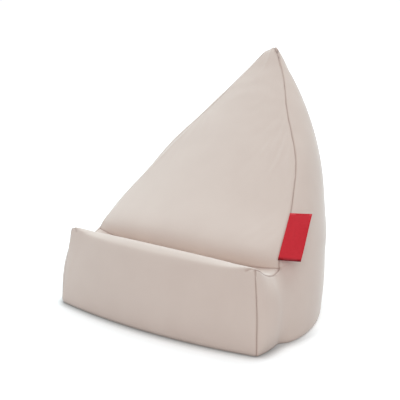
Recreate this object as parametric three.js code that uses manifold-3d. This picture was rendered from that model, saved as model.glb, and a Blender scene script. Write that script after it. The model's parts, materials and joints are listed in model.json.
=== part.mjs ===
// Tablet cushion stand: a bead-filled fabric wedge with a padded lip in front.
// A tablet stands on the ledge behind the lip and leans on the sloping backrest.
// Millimetres, +Z up, +X to the right, the lip faces -Y, the floor is z = 0.
import * as THREE from 'three';
import { mergeVertices } from 'three/addons/utils/BufferGeometryUtils.js';
import Module from 'manifold-3d';

const wasm = await Module();
wasm.setup();

// Lip: the upright pad along the front edge. Setbacks are measured from its bottom corners.
const LIP_FOOT_WIDTH = 242;
const LIP_TOP_WIDTH = 217;
const LIP_HEIGHT = 80;
const LIP_LEAN = 10;
const LIP_FOOT_BOW = 12;
const LIP_TOP_BOW = 14;
const LIP_FRONT_CROWN = 5;
const LIP_END_SWELL = 6;
const LIP_RIDGE_CROWN = 7;
const RIDGE_FORWARD = 0.8;

// Ledge and groove: the top of the lip dips to the seam under the backrest.
const NOTCH_WIDTH = 220;
const NOTCH_SETBACK = 43;
const NOTCH_DROP = 13.7;
const NOTCH_SCOOP = 0.62;
const GROOVE_SETBACK = 55;
const GROOVE_DROP = 11;
const GROOVE_SCOOP = 0.3;
const GROOVE_BOW = 12;
const GROOVE_SAG = 3;
const GROOVE_FADE = 3;

// Backrest: a padded triangle from the groove up to the apex.
const APEX_SETBACK = 226;
const APEX_HEIGHT = 250;
const TIP_WIDTH = 8;
const TIP_ROUND = 2;
const EDGE_SWELL = 18;
const EDGE_DIP = 5.6;
const SHOULDER_RISE = 6.5;
const SHOULDER_REACH = 15;
const BELLY = 18;
const BELLY_ROLL = 22;
const BELLY_FADE = 0.9;
const SLOPE_CROWDING = 1.4;

// Sides, back and base outline. A side's plan is a quarter round at 1 and a straight run at 2.
const WAIST_WIDTH = 245;
const WAIST_SETBACK = 36;
const WAIST_SWELL = 4;
const SIDE_PUFF = 0.75;
const FOOT_SWELL = 37;
const FOOT_PLAN = 1.6;
const TOP_PLAN = 1.05;
const REAR_SWELL = 1.3;
const NOTCH_SWELL = 6;
const NOTCH_SPREAD = 35;
const NOTCH_EASE = 19;
const NOTCH_EASE_RUN = 28;
const ROW_LEVELLING = 0.7;
const BACK_FOOT_SETBACK = 218;
const BACK_SWELL = 26;
const BACK_FULLNESS = 0.75;
const FAN_LOW = 44;
const FAN_HIGH = 78;
const BASE_LIFT = 1;
const BASE_ROLL = 9;
const BASE_CENTRE_SETBACK = 105;
const BASE_RINGS = [0.4, 0.75, 1];

// Cover cloth, sewing thread and the gap left between two pieces that touch.
const FABRIC = 1.6;
const SEAM_GAP = 0.5;
const RIM_DRAW = 3;
const THREAD = 0.9;
const FLAT_SEAM_DEPTH = 1.5;
const CLEARANCE = 0.3;
const MITRE_LIMIT = 2.5;

// Zip in the base, closed with its slider at +X.
const ZIP_SETBACK = 150;
const ZIP_LENGTH = 150;
const ZIP_MOUTH = 10;
const TAPE_WIDTH = 13;
const TAPE_END = 9;
const TAPE = 0.6;
const COIL = 2;
const COIL_GAP = 1.2;
const STOP_LENGTH = 3;
const SLIDER_LENGTH = 11;
const SLIDER_WIDTH = 8;
const SLIDER_PLATE = 1;
const SLIDER_WEB = 0.5;
const SLIDER_TAPER = 0.7;
const SLIDER_SHOULDER = 0.3;

// Filling: a liner bag of beads behind a foam bar in the lip.
const LINER_SLACK = 4;
const FOAM_SLACK = 5;
const FOAM_HEIGHT = 68;
const BEAD_GAP = 0.8;
const LINER = 0.8;
const FOAM_SETBACK = 34;
const LINER_SETBACK = 36;
const FILL_TOP_DROP = 40;
const ZIP_ROOM = 2;
const SLIT_WIDTH = 60;
const SLIT_HEIGHT = 4;

// Woven label folded into the right-hand seam.
const LABEL_LENGTH = 58;
const LABEL_WIDTH = 20;
const LABEL = 1.2;
const LABEL_FOLD_GAP = 0.3;
const LABEL_SETBACK = 7;
const LABEL_HEADING = THREE.MathUtils.degToRad(8);
const LABEL_ROOT_GAP = 1.6;
const LABEL_LIFT = 0.6;

// How finely the cloth and the filling are divided.
const CLOTH_STEPS = { lip: 6, ledge: 8, groove: 3, slope: 16, across: 24, relax: 4 };
const FILL_STEPS = { lip: 2, ledge: 3, groove: 1, slope: 6, across: 10, relax: 1 };
const THREAD_SIDES = 5;
const COIL_SIDES = 10;
const ROUND_STEPS = 6;
const RELAX_PULL = 0.5;
const MITRE_PASSES = 40;
const WELD = 1e-3;
const KEY_GRID = 0.02;

// Rows of cloth at each end of a seam that are too crowded for a thread.
const EDGE_CROWD = { start: 4, end: 2 };
const BACK_CROWD = { start: 1, end: 3 };

const V = (x, y, z) => new THREE.Vector3(x, y, z);
const mix = THREE.MathUtils.lerp;
const mirrored = (p) => V(-p.x, p.y, p.z);
const arch = (f) => 4 * f * (1 - f);

// Corners of the seam net on the right-hand side.
const lipFoot = V(LIP_FOOT_WIDTH / 2, 0, BASE_LIFT);
const lipTop = V(LIP_TOP_WIDTH / 2, LIP_LEAN, LIP_HEIGHT);
const notch = V(NOTCH_WIDTH / 2, NOTCH_SETBACK, LIP_HEIGHT - NOTCH_DROP);
const grooveEnd = V(NOTCH_WIDTH / 2, GROOVE_SETBACK, LIP_HEIGHT - GROOVE_DROP);
const waist = V(WAIST_WIDTH / 2, WAIST_SETBACK, BASE_LIFT);
const tipSide = V(TIP_WIDTH / 2, APEX_SETBACK, APEX_HEIGHT - TIP_ROUND);
const apex = V(0, APEX_SETBACK + TIP_ROUND, APEX_HEIGHT);
const backFoot = V(0, BACK_FOOT_SETBACK, BASE_LIFT);

const slope = tipSide.clone().sub(grooveEnd).setX(0).normalize();
const slopeNormal = V(0, -slope.z, slope.y);

function spaced(curve, steps) {
  return curve.getSpacedPoints(steps);
}

// Edge of the lip's front, from the floor to the top corner.
function lipEdge(steps) {
  return spaced(new THREE.LineCurve3(lipFoot, lipTop), steps);
}

// Edge of the ledge, from the lip's top corner down into the notch.
function ledgeEdge(steps) {
  const dip = lipTop.clone().lerp(notch, 0.5).setZ(mix(lipTop.z, notch.z, NOTCH_SCOOP));
  return spaced(new THREE.CatmullRomCurve3([lipTop, dip, notch]), steps);
}

// Short rise from the notch to the end of the groove.
function grooveEdge(steps) {
  const mid = notch.clone().lerp(grooveEnd, 0.5);
  mid.z = mix(notch.z, grooveEnd.z, GROOVE_SCOOP);
  return spaced(new THREE.QuadraticBezierCurve3(notch, mid, grooveEnd), steps);
}

// Edge of the backrest: it swells outwards, rises over a shoulder, then dips behind its chord.
function backrestEdgePoint(f) {
  const reach = (f * grooveEnd.distanceTo(tipSide)) / SHOULDER_REACH;
  const rise = SHOULDER_RISE * reach * Math.exp(1 - reach) * (1 - f) - EDGE_DIP * arch(f);
  const point = grooveEnd.clone().lerp(tipSide, f).addScaledVector(slopeNormal, rise);
  point.x += EDGE_SWELL * arch(f);
  return point;
}

// Rows of the slope lie closer together near the groove, where the cloth turns most.
const slopeShare = (i, steps) => (i / steps.slope) ** SLOPE_CROWDING;

function backrestEdge(steps) {
  return Array.from({ length: steps.slope + 1 }, (_, i) => backrestEdgePoint(slopeShare(i, steps)));
}

// Fold between the lip's end and the body, from the waist up to the notch.
function waistEdge(steps) {
  const mid = waist.clone().lerp(notch, 0.5);
  mid.x += WAIST_SWELL;
  return spaced(new THREE.QuadraticBezierCurve3(waist, mid, notch), steps);
}

// Centre seam of the back.
function backPoint(f) {
  const point = backFoot.clone().lerp(apex, f);
  point.y += BACK_SWELL * Math.sin(Math.PI * f ** BACK_FULLNESS);
  return point;
}

// Share of the side's front edge, from the waist to the apex, at the notch and at the groove's end.
const waistRun = waist.distanceTo(notch);
const grooveRun = notch.distanceTo(grooveEnd);
const frontRun = waistRun + grooveRun + grooveEnd.distanceTo(tipSide);
const notchShare = waistRun / frontRun;
const grooveShare = (waistRun + grooveRun) / frontRun;

// Share of the back seam that each share of the side's front edge runs to: rows fan out at the notch.
function backShare(h) {
  const fanLow = FAN_LOW / APEX_HEIGHT;
  const fanHigh = FAN_HIGH / APEX_HEIGHT;
  if (h < notchShare) {
    return (fanLow * h) / notchShare;
  }
  if (h < grooveShare) {
    return mix(fanLow, fanHigh, (h - notchShare) / (grooveShare - notchShare));
  }
  return mix(fanHigh, 1, (h - grooveShare) / (1 - grooveShare));
}

// One row of the side, from its front edge round to the back seam; h runs from the waist to the apex.
// It swells from its front edge at once, except beside the notch, where the swell starts gently.
const bell = (distance, spread) => Math.exp(-((distance / spread) ** 2));

function sidePoint(front, h, w) {
  const back = backPoint(backShare(h));
  const power = mix(FOOT_PLAN, TOP_PLAN, h);
  const fromNotch = (h - notchShare) * frontRun;
  const ease = bell(fromNotch, NOTCH_EASE) * bell(w * front.distanceTo(back), NOTCH_EASE_RUN);
  const fullness = FOOT_SWELL * (1 - h) + NOTCH_SWELL * bell(fromNotch, NOTCH_SPREAD);
  const swell = fullness * Math.sin(Math.PI * w) * (1 - ease);
  const c = Math.cos((Math.PI / 2) * w);
  const s = Math.sin((Math.PI / 2) * w);
  return V(
    w === 1 ? 0 : front.x * c ** power + swell * c,
    front.y + (back.y - front.y) * s ** power + REAR_SWELL * swell * s * c,
    mix(front.z, back.z, w ** ROW_LEVELLING),
  );
}

function runningShare(points) {
  const along = [0];
  for (let i = 1; i < points.length; i += 1) {
    along.push(along[i - 1] + points[i].distanceTo(points[i - 1]));
  }
  return along.map((d) => d / along.at(-1));
}

function sideRows(steps) {
  const front = [
    ...waistEdge(steps.lip),
    ...grooveEdge(steps.groove).slice(1),
    ...backrestEdge(steps).slice(1),
  ];
  const heights = runningShare(front);
  const half = steps.across / 2;
  return front.map((p, i) => (
    Array.from({ length: half + 1 }, (_, j) => sidePoint(p, heights[i], j / half))
  ));
}

// The lip's end, spanned between its four edges and swollen outwards.
function lipEndRows(steps) {
  const front = lipEdge(steps.lip);
  const back = waistEdge(steps.lip);
  const top = ledgeEdge(steps.ledge);
  const bottomMid = lipFoot.clone().lerp(waist, 0.5);
  bottomMid.x += WAIST_SWELL;
  const bottom = spaced(new THREE.QuadraticBezierCurve3(lipFoot, bottomMid, waist), steps.ledge);
  return front.map((_, i) => bottom.map((__, j) => {
    const a = i / steps.lip;
    const b = j / steps.ledge;
    const point = front[i].clone().lerp(back[i], b).add(bottom[j].clone().lerp(top[j], a));
    point.sub(lipFoot.clone().lerp(waist, b).lerp(lipTop.clone().lerp(notch, b), a));
    point.x += LIP_END_SWELL * Math.sin(Math.PI * a) * Math.sin(Math.PI * b);
    return point;
  }));
}

// A row from the left edge to the right, carried off its chord by an offset.
function crossRow(edge, across, offset) {
  return Array.from({ length: across + 1 }, (_, j) => {
    const t = (2 * j) / across - 1;
    const point = V(edge.x * t, edge.y, edge.z);
    return Math.abs(t) === 1 ? point : point.addScaledVector(offset, 1 - t * t);
  });
}

// The lip's front, ridge and ledge in one piece of cloth.
function lipRows(steps) {
  const front = lipEdge(steps.lip).map((edge, i) => {
    const a = i / steps.lip;
    const bow = mix(LIP_FOOT_BOW, LIP_TOP_BOW, a) + LIP_FRONT_CROWN * Math.sin(Math.PI * a);
    return crossRow(edge, steps.across, V(0, -bow, 0));
  });
  const ledge = [...ledgeEdge(steps.ledge), ...grooveEdge(steps.groove).slice(1)];
  const along = runningShare(ledge);
  const top = ledge.map((edge, i) => {
    const b = along[i];
    const rise = LIP_RIDGE_CROWN * Math.sin(Math.PI * b ** RIDGE_FORWARD) - GROOVE_SAG * b * b;
    return crossRow(edge, steps.across, V(0, -mix(LIP_TOP_BOW, GROOVE_BOW, b), rise));
  });
  return [...front, ...top.slice(1)];
}

// The backrest: it rolls out of the groove into a belly that fades towards the tip.
function backrestRows(steps) {
  const edge = backrestEdge(steps);
  const rows = edge.map((point, i) => {
    const f = slopeShare(i, steps);
    const rolled = 1 - Math.exp((-f * grooveEnd.distanceTo(tipSide)) / BELLY_ROLL);
    const offset = V(0, -GROOVE_BOW, -GROOVE_SAG).multiplyScalar((1 - f) ** GROOVE_FADE);
    offset.addScaledVector(slopeNormal, BELLY * rolled * (1 - f) ** BELLY_FADE);
    return crossRow(point, steps.across, offset);
  });
  const tip = sideRows(steps).at(-1);
  rows[steps.slope] = [...tip.map(mirrored), ...tip.slice(0, -1).reverse()];
  return rows;
}

// Base outline, counter-clockwise from above, starting at the lip's left corner.
function baseOutline(steps) {
  const front = lipRows(steps)[0];
  const right = [...lipEndRows(steps)[0], ...sideRows(steps)[0].slice(1)];
  const left = right.slice(1, -1).reverse().map(mirrored);
  return [...front, ...right.slice(1), ...left];
}

// Rings from the base seam to the flat middle of the base, which lies on the floor.
function baseRings(steps) {
  const centre = V(0, BASE_CENTRE_SETBACK, 0);
  const seam = baseOutline(steps);
  const rolled = seam.map((p) => {
    const inwards = centre.clone().sub(p).setZ(0).normalize();
    return p.clone().setZ(0).addScaledVector(inwards, BASE_ROLL);
  });
  const middle = BASE_RINGS.map((f) => rolled.map((p) => p.clone().lerp(centre, f)));
  return [seam, rolled, ...middle].map((ring) => [...ring, ring[0]]);
}

// Welds grids of points into one skin of triangles with smooth normals.
function skin(grids, flip) {
  const positions = [];
  for (const rows of grids) {
    for (let i = 1; i < rows.length; i += 1) {
      for (let j = 1; j < rows[i].length; j += 1) {
        const [a, b, c, d] = [rows[i - 1][j - 1], rows[i - 1][j], rows[i][j], rows[i][j - 1]];
        const corners = flip ? [a, c, b, a, d, c] : [a, b, c, a, c, d];
        corners.forEach((p) => positions.push(p.x, p.y, p.z));
      }
    }
  }
  return weld(positions);
}

// Merges equal corners and drops triangles that have collapsed.
function weld(positions) {
  const loose = new THREE.BufferGeometry();
  loose.setAttribute('position', new THREE.Float32BufferAttribute(positions, 3));
  const welded = mergeVertices(loose, WELD);
  const index = welded.index.array;
  const kept = [];
  for (let i = 0; i < index.length; i += 3) {
    const [a, b, c] = index.slice(i, i + 3);
    if (a !== b && b !== c && c !== a) {
      kept.push(a, b, c);
    }
  }
  welded.setIndex(kept);
  welded.computeVertexNormals();
  return welded;
}

// Evens out and puffs up a skin inside its fixed edge, as stuffed cloth does between its seams.
function relaxed(geometry, passes) {
  const rim = new Set(freeEdges(geometry).flat());
  const index = geometry.index.array;
  const at = geometry.attributes.position;
  for (let pass = 0; pass < passes; pass += 1) {
    const sums = Array.from({ length: at.count }, () => ({ total: V(), count: 0 }));
    for (let i = 0; i < index.length; i += 3) {
      for (let k = 0; k < 3; k += 1) {
        sums[index[i + k]].total.add(pointOf(geometry, index[i + ((k + 1) % 3)]));
        sums[index[i + k]].count += 1;
      }
    }
    sums.forEach(({ total, count }, i) => {
      if (!rim.has(i)) {
        const p = pointOf(geometry, i).lerp(total.divideScalar(count), RELAX_PULL);
        p.addScaledVector(normalOf(geometry, i), SIDE_PUFF);
        at.setXYZ(i, p.x, p.y, p.z);
      }
    });
    geometry.computeVertexNormals();
  }
  return geometry;
}

function mirroredSkin(source) {
  const positions = [];
  const at = source.attributes.position;
  const index = source.index.array;
  for (let i = 0; i < index.length; i += 3) {
    for (const k of [index[i], index[i + 2], index[i + 1]]) {
      positions.push(-at.getX(k), at.getY(k), at.getZ(k));
    }
  }
  return weld(positions);
}

// The cover's five skins at a given fineness.
function coverSkins(steps) {
  const right = relaxed(skin([lipEndRows(steps), sideRows(steps)], false), steps.relax);
  return {
    lip: skin([lipRows(steps)], false),
    backrest: skin([backrestRows(steps)], false),
    right,
    left: mirroredSkin(right),
    base: skin([baseRings(steps)], true),
  };
}

const pointOf = (geometry, i) => V().fromBufferAttribute(geometry.attributes.position, i);
const normalOf = (geometry, i) => V().fromBufferAttribute(geometry.attributes.normal, i);
const keyOf = (p) => [p.x, p.y, p.z].map((c) => Math.round(c / KEY_GRID)).join();

// Gathers, for every point of the cover, the normals of all the skins that meet there.
function normalsByPoint(skins) {
  const meeting = new Map();
  for (const [name, geometry] of Object.entries(skins)) {
    for (let i = 0; i < geometry.attributes.position.count; i += 1) {
      const key = keyOf(pointOf(geometry, i));
      const list = meeting.get(key) ?? [];
      list.push({ name, normal: normalOf(geometry, i) });
      meeting.set(key, list);
    }
  }
  return meeting;
}

// Inward step that takes a point a given depth below every skin that meets there.
function mitre(list, depthOf) {
  const step = V();
  for (let pass = 0; pass < MITRE_PASSES; pass += 1) {
    for (const { name, normal } of list) {
      step.addScaledVector(normal, -depthOf(name) - step.dot(normal));
    }
  }
  const longest = MITRE_LIMIT * Math.max(...list.map(({ name }) => depthOf(name)));
  return step.clampLength(0, longest);
}

// Free edges of a skin, in the direction in which its triangles run.
function freeEdges(geometry) {
  const index = geometry.index.array;
  const used = new Set();
  const edges = [];
  for (let i = 0; i < index.length; i += 3) {
    for (let k = 0; k < 3; k += 1) {
      const edge = [index[i + k], index[i + ((k + 1) % 3)]];
      used.add(edge.join());
      edges.push(edge);
    }
  }
  return edges.filter(([a, b]) => !used.has([b, a].join()));
}

// Draws the free edge of a skin back into it, so that two panels don't touch at their seam.
function seamInsets(geometry) {
  const insets = Array.from({ length: geometry.attributes.position.count }, () => V());
  for (const [a, b] of freeEdges(geometry)) {
    const along = pointOf(geometry, b).sub(pointOf(geometry, a)).normalize();
    for (const i of [a, b]) {
      insets[i].add(normalOf(geometry, i).cross(along));
    }
  }
  return insets.map((way) => way.setLength(way.length() > 0 ? SEAM_GAP / way.length() : 0));
}

// A sewn panel: its skin, the same skin one cloth thickness further in, and the rim between them.
// Both panels at a seam split the rim along the same diagonal, so that their rims stay parallel.
function panel(geometry, meeting) {
  const insets = seamInsets(geometry);
  const count = geometry.attributes.position.count;
  const outer = [];
  const inner = [];
  for (let i = 0; i < count; i += 1) {
    const p = pointOf(geometry, i);
    const step = mitre(meeting.get(keyOf(p)), () => FABRIC);
    outer.push(p.clone().add(insets[i]));
    inner.push(p.clone().addScaledVector(insets[i], RIM_DRAW).add(step));
  }
  const triangles = [];
  const index = geometry.index.array;
  for (let i = 0; i < index.length; i += 3) {
    const [a, b, c] = index.slice(i, i + 3);
    triangles.push(outer[a], outer[b], outer[c], inner[a], inner[c], inner[b]);
  }
  for (const [a, b] of freeEdges(geometry)) {
    const fromA = keyOf(pointOf(geometry, a)) < keyOf(pointOf(geometry, b));
    triangles.push(...(fromA
      ? [outer[b], outer[a], inner[b], outer[a], inner[a], inner[b]]
      : [outer[b], outer[a], inner[a], outer[b], inner[a], inner[b]]));
  }
  return weld(triangles.flatMap((p) => p.toArray()));
}

// The closed space inside the cover, a given depth below each of its skins.
function coverSpace(skins, meeting, depthOf) {
  const positions = [];
  for (const geometry of Object.values(skins)) {
    for (const i of geometry.index.array) {
      const p = pointOf(geometry, i);
      positions.push(...p.add(mitre(meeting.get(keyOf(p)), depthOf)).toArray());
    }
  }
  return solid(weld(positions));
}

function solid(geometry) {
  const bare = geometry.clone();
  bare.deleteAttribute('normal');
  bare.deleteAttribute('uv');
  const welded = mergeVertices(bare, WELD);
  const mesh = new wasm.Mesh({
    numProp: 3,
    vertProperties: Float32Array.from(welded.attributes.position.array),
    triVerts: Uint32Array.from(welded.index.array),
  });
  mesh.merge();
  return new wasm.Manifold(mesh);
}

function surface(manifold) {
  const mesh = manifold.getMesh();
  const geometry = new THREE.BufferGeometry();
  geometry.setAttribute('position', new THREE.BufferAttribute(mesh.vertProperties, 3));
  geometry.setIndex(new THREE.BufferAttribute(mesh.triVerts, 1));
  geometry.computeVertexNormals();
  return geometry;
}

// A box between two corners.
function boxBetween(low, high) {
  const size = high.clone().sub(low);
  const middle = low.clone().add(high).multiplyScalar(0.5);
  return new THREE.BoxGeometry(size.x, size.y, size.z).translate(middle.x, middle.y, middle.z);
}

const blockBetween = (low, high) => solid(boxBetween(low, high));

// Materials.
const finish = (color, roughness, metalness = 0) => (
  new THREE.MeshStandardMaterial({ color, roughness, metalness })
);
const coverCloth = finish(0xd3c3ba, 0.9);
const baseCloth = finish(0xc4b5ad, 0.92);
const labelWeave = finish(0xbe2d37, 0.7);
const zipTape = finish(0xcdbfb6, 0.85);
const coilNylon = finish(0xd8ccc4, 0.45);
const sliderZinc = finish(0xb9bbbd, 0.32, 1);
const linerCloth = finish(0xefece6, 0.9);
const beadFoam = finish(0xf6f5f1, 0.8);
const barFoam = finish(0xe9e2cf, 0.95);
const sewingThread = finish(0xb9a79d, 0.8);

const cushion = new THREE.Group();

function addPiece(name, geometry, material) {
  const mesh = new THREE.Mesh(geometry, material);
  mesh.name = name;
  cushion.add(mesh);
  return mesh;
}

// Cover panels.
const clothSkins = coverSkins(CLOTH_STEPS);
const clothNormals = normalsByPoint(clothSkins);
addPiece('lip_panel', panel(clothSkins.lip, clothNormals), coverCloth);
addPiece('backrest_panel', panel(clothSkins.backrest, clothNormals), coverCloth);
addPiece('side_panel_right', panel(clothSkins.right, clothNormals), coverCloth);
addPiece('side_panel_left', panel(clothSkins.left, clothNormals), coverCloth);

// Base: one outline cut in two along the zip, with a wider mouth where the zip lies.
const FAR = 2 * LIP_FOOT_WIDTH;
const mouthHalf = ZIP_LENGTH / 2 + TAPE_END / 2;
const baseSolid = solid(panel(clothSkins.base, clothNormals));
const baseSplit = blockBetween(
  V(-FAR, ZIP_SETBACK - CLEARANCE / 2, -FAR),
  V(FAR, ZIP_SETBACK + CLEARANCE / 2, FAR),
);
const zipMouth = blockBetween(
  V(-mouthHalf, ZIP_SETBACK - ZIP_MOUTH / 2, -FAR),
  V(mouthHalf, ZIP_SETBACK + ZIP_MOUTH / 2, FAR),
);
const aheadOfZip = blockBetween(V(-FAR, -FAR, -FAR), V(FAR, ZIP_SETBACK, FAR));
const openBase = baseSolid.subtract(baseSplit).subtract(zipMouth);
addPiece('base_panel_front', surface(openBase.intersect(aheadOfZip)), baseCloth);
addPiece('base_panel_rear', surface(openBase.subtract(aheadOfZip)), baseCloth);

// Zip: two tapes on the base panels, a coil on each, end stops and the slider.
const tapeFloor = FABRIC + CLEARANCE;
const coilFloor = tapeFloor + TAPE + CLEARANCE;
const coilTop = coilFloor + COIL;
const zipHalf = ZIP_LENGTH / 2;

function zipRow(side, towards) {
  const inner = ZIP_SETBACK + towards * (COIL_GAP / 2);
  const outer = inner + towards * TAPE_WIDTH;
  const tapeHalf = zipHalf + TAPE_END;
  addPiece(`zip_tape_${side}`, boxBetween(
    V(-tapeHalf, Math.min(inner, outer), tapeFloor),
    V(tapeHalf, Math.max(inner, outer), tapeFloor + TAPE),
  ), zipTape);
  const coil = new THREE.CylinderGeometry(COIL / 2, COIL / 2, ZIP_LENGTH, COIL_SIDES);
  coil.rotateZ(Math.PI / 2);
  coil.translate(0, inner + (towards * COIL) / 2, coilFloor + COIL / 2);
  addPiece(`zip_coil_${side}`, coil, coilNylon);
}
zipRow('front', -1);
zipRow('rear', 1);

function zipStop(side, towards) {
  const near = towards * (zipHalf + CLEARANCE);
  const far = near + towards * STOP_LENGTH;
  const half = COIL_GAP / 2 + COIL;
  addPiece(`zip_stop_${side}`, boxBetween(
    V(Math.min(near, far), ZIP_SETBACK - half, coilFloor),
    V(Math.max(near, far), ZIP_SETBACK + half, coilTop),
  ), sliderZinc);
}
zipStop('left', -1);
zipStop('right', 1);

// Slider: a plate below the tapes and one above the coils, joined by a web between the rows.
const sliderTop = coilTop + CLEARANCE + SLIDER_PLATE;
const sliderFloor = FABRIC - SLIDER_PLATE;
const sliderX = zipHalf - SLIDER_LENGTH / 2 - CLEARANCE;

function sliderPlate(floor) {
  const plan = new THREE.Shape();
  const half = SLIDER_LENGTH / 2;
  const wide = SLIDER_WIDTH / 2;
  plan.moveTo(-half, -wide * SLIDER_TAPER);
  plan.lineTo(half * SLIDER_SHOULDER, -wide);
  plan.quadraticCurveTo(half, -wide, half, 0);
  plan.quadraticCurveTo(half, wide, half * SLIDER_SHOULDER, wide);
  plan.lineTo(-half, wide * SLIDER_TAPER);
  plan.closePath();
  const plate = new THREE.ExtrudeGeometry(plan, {
    depth: SLIDER_PLATE, bevelEnabled: false, curveSegments: ROUND_STEPS,
  });
  return solid(plate.translate(sliderX, ZIP_SETBACK, floor));
}
const sliderWeb = blockBetween(
  V(sliderX, ZIP_SETBACK - SLIDER_WEB / 2, sliderFloor + SLIDER_PLATE / 2),
  V(sliderX + SLIDER_LENGTH / 4, ZIP_SETBACK + SLIDER_WEB / 2, sliderTop - SLIDER_PLATE / 2),
);
const slider = sliderPlate(sliderFloor).add(sliderPlate(sliderTop - SLIDER_PLATE)).add(sliderWeb);
addPiece('zip_slider', surface(slider), sliderZinc);

// Filling, from the cover inwards: foam bar in the lip, liner bag behind it, beads in the bag.
const fillSkins = coverSkins(FILL_STEPS);
const fillNormals = normalsByPoint(fillSkins);

// Space inside the cover: resting on the base, and a given slack inside the other panels.
function innerSpace(slack, extra) {
  const depth = FABRIC + slack + extra;
  const rest = FABRIC + CLEARANCE + extra;
  return coverSpace(fillSkins, fillNormals, (name) => (name === 'base' ? rest : depth));
}

function behind(setback, roof) {
  return blockBetween(V(-FAR, setback, -FAR), V(FAR, FAR, roof));
}

function zipChannel(extra) {
  const halfX = zipHalf + TAPE_END + ZIP_ROOM - extra;
  const halfY = COIL_GAP / 2 + TAPE_WIDTH + ZIP_ROOM - extra;
  return blockBetween(
    V(-halfX, ZIP_SETBACK - halfY, -FAR),
    V(halfX, ZIP_SETBACK + halfY, sliderTop + ZIP_ROOM - extra),
  );
}
const fillRoof = APEX_HEIGHT - FILL_TOP_DROP;
const beadGap = LINER + BEAD_GAP;
const foamBar = innerSpace(FOAM_SLACK, 0)
  .intersect(blockBetween(V(-FAR, -FAR, -FAR), V(FAR, FOAM_SETBACK, FOAM_HEIGHT)));
const bagOutside = innerSpace(LINER_SLACK, 0).intersect(behind(LINER_SETBACK, fillRoof))
  .subtract(zipChannel(0));
const bagInside = innerSpace(LINER_SLACK, LINER)
  .intersect(behind(LINER_SETBACK + LINER, fillRoof - LINER))
  .subtract(zipChannel(-LINER));
const fillingSlit = blockBetween(
  V(-SLIT_WIDTH / 2, ZIP_SETBACK, fillRoof / 2),
  V(SLIT_WIDTH / 2, FAR, fillRoof / 2 + SLIT_HEIGHT),
);
const beads = innerSpace(LINER_SLACK, beadGap)
  .intersect(behind(LINER_SETBACK + beadGap, fillRoof - beadGap))
  .subtract(zipChannel(-beadGap));
addPiece('lip_foam_bar', surface(foamBar), barFoam);
addPiece('inner_bag', surface(bagOutside.subtract(bagInside).subtract(fillingSlit)), linerCloth);
addPiece('bead_fill', surface(beads), beadFoam);

// Seams: one thread along each line where panels are sewn together. At a folded seam it lies inside
// the fold, and where the panels lie flat beside each other it lies between their rims.
const FOLDED_SEAM_DEPTH = FABRIC + 2 * CLEARANCE + THREAD / 2;

function seamThread(name, points, depth) {
  const path = points.map((p) => p.clone().add(mitre(clothNormals.get(keyOf(p)), () => depth)));
  const corners = Array.from({ length: THREAD_SIDES }, (_, i) => {
    const turn = (2 * Math.PI * i) / THREAD_SIDES;
    return new THREE.Vector2(Math.cos(turn), Math.sin(turn)).multiplyScalar(THREAD / 2);
  });
  addPiece(name, new THREE.ExtrudeGeometry(new THREE.Shape(corners), {
    steps: points.length,
    bevelEnabled: false,
    extrudePath: new THREE.CatmullRomCurve3(path, false, 'catmullrom', 0),
  }), sewingThread);
}
const lipSeam = lipEdge(CLOTH_STEPS.lip).slice(1, -1);
const edgeSeam = backrestEdge(CLOTH_STEPS).slice(EDGE_CROWD.start, -EDGE_CROWD.end);
seamThread('seam_thread_lip_right', lipSeam, FOLDED_SEAM_DEPTH);
seamThread('seam_thread_lip_left', lipSeam.map(mirrored), FOLDED_SEAM_DEPTH);
seamThread('seam_thread_edge_right', edgeSeam, FOLDED_SEAM_DEPTH);
seamThread('seam_thread_edge_left', edgeSeam.map(mirrored), FOLDED_SEAM_DEPTH);
const backSeam = sideRows(CLOTH_STEPS).map((row) => row.at(-1));
const backRun = backSeam.slice(BACK_CROWD.start, -BACK_CROWD.end);
seamThread('seam_thread_back', backRun, FLAT_SEAM_DEPTH);
seamThread('seam_thread_groove', lipRows(CLOTH_STEPS).at(-1).slice(1, -1), FLAT_SEAM_DEPTH);

// The base seam is sewn in runs that stop short of the folds at the waist and at the back seam.
const lipEndSeam = lipEndRows(CLOTH_STEPS)[0].slice(1, -1);
const bodySeam = sideRows(CLOTH_STEPS)[0].slice(1, -1);
seamThread('seam_thread_base_front', [
  ...lipEndSeam.map(mirrored).reverse(),
  ...lipRows(CLOTH_STEPS)[0],
  ...lipEndSeam,
], FOLDED_SEAM_DEPTH);
seamThread('seam_thread_base_right', bodySeam, FOLDED_SEAM_DEPTH);
seamThread('seam_thread_base_left', bodySeam.map(mirrored), FOLDED_SEAM_DEPTH);

// Label: a strip of tape folded in two, with its open ends at the right-hand seam.
const labelAt = (run) => backrestEdgePoint(run / grooveEnd.distanceTo(tipSide));
const labelFoot = labelAt(LABEL_SETBACK);
const labelHead = labelAt(LABEL_SETBACK + LABEL_LENGTH);
const labelUp = labelHead.clone().sub(labelFoot).normalize();
const labelOut = V(Math.cos(LABEL_HEADING), Math.sin(LABEL_HEADING), 0);
labelOut.addScaledVector(labelUp, -labelOut.dot(labelUp)).normalize();
const labelIn = labelUp.clone().cross(labelOut);

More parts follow.
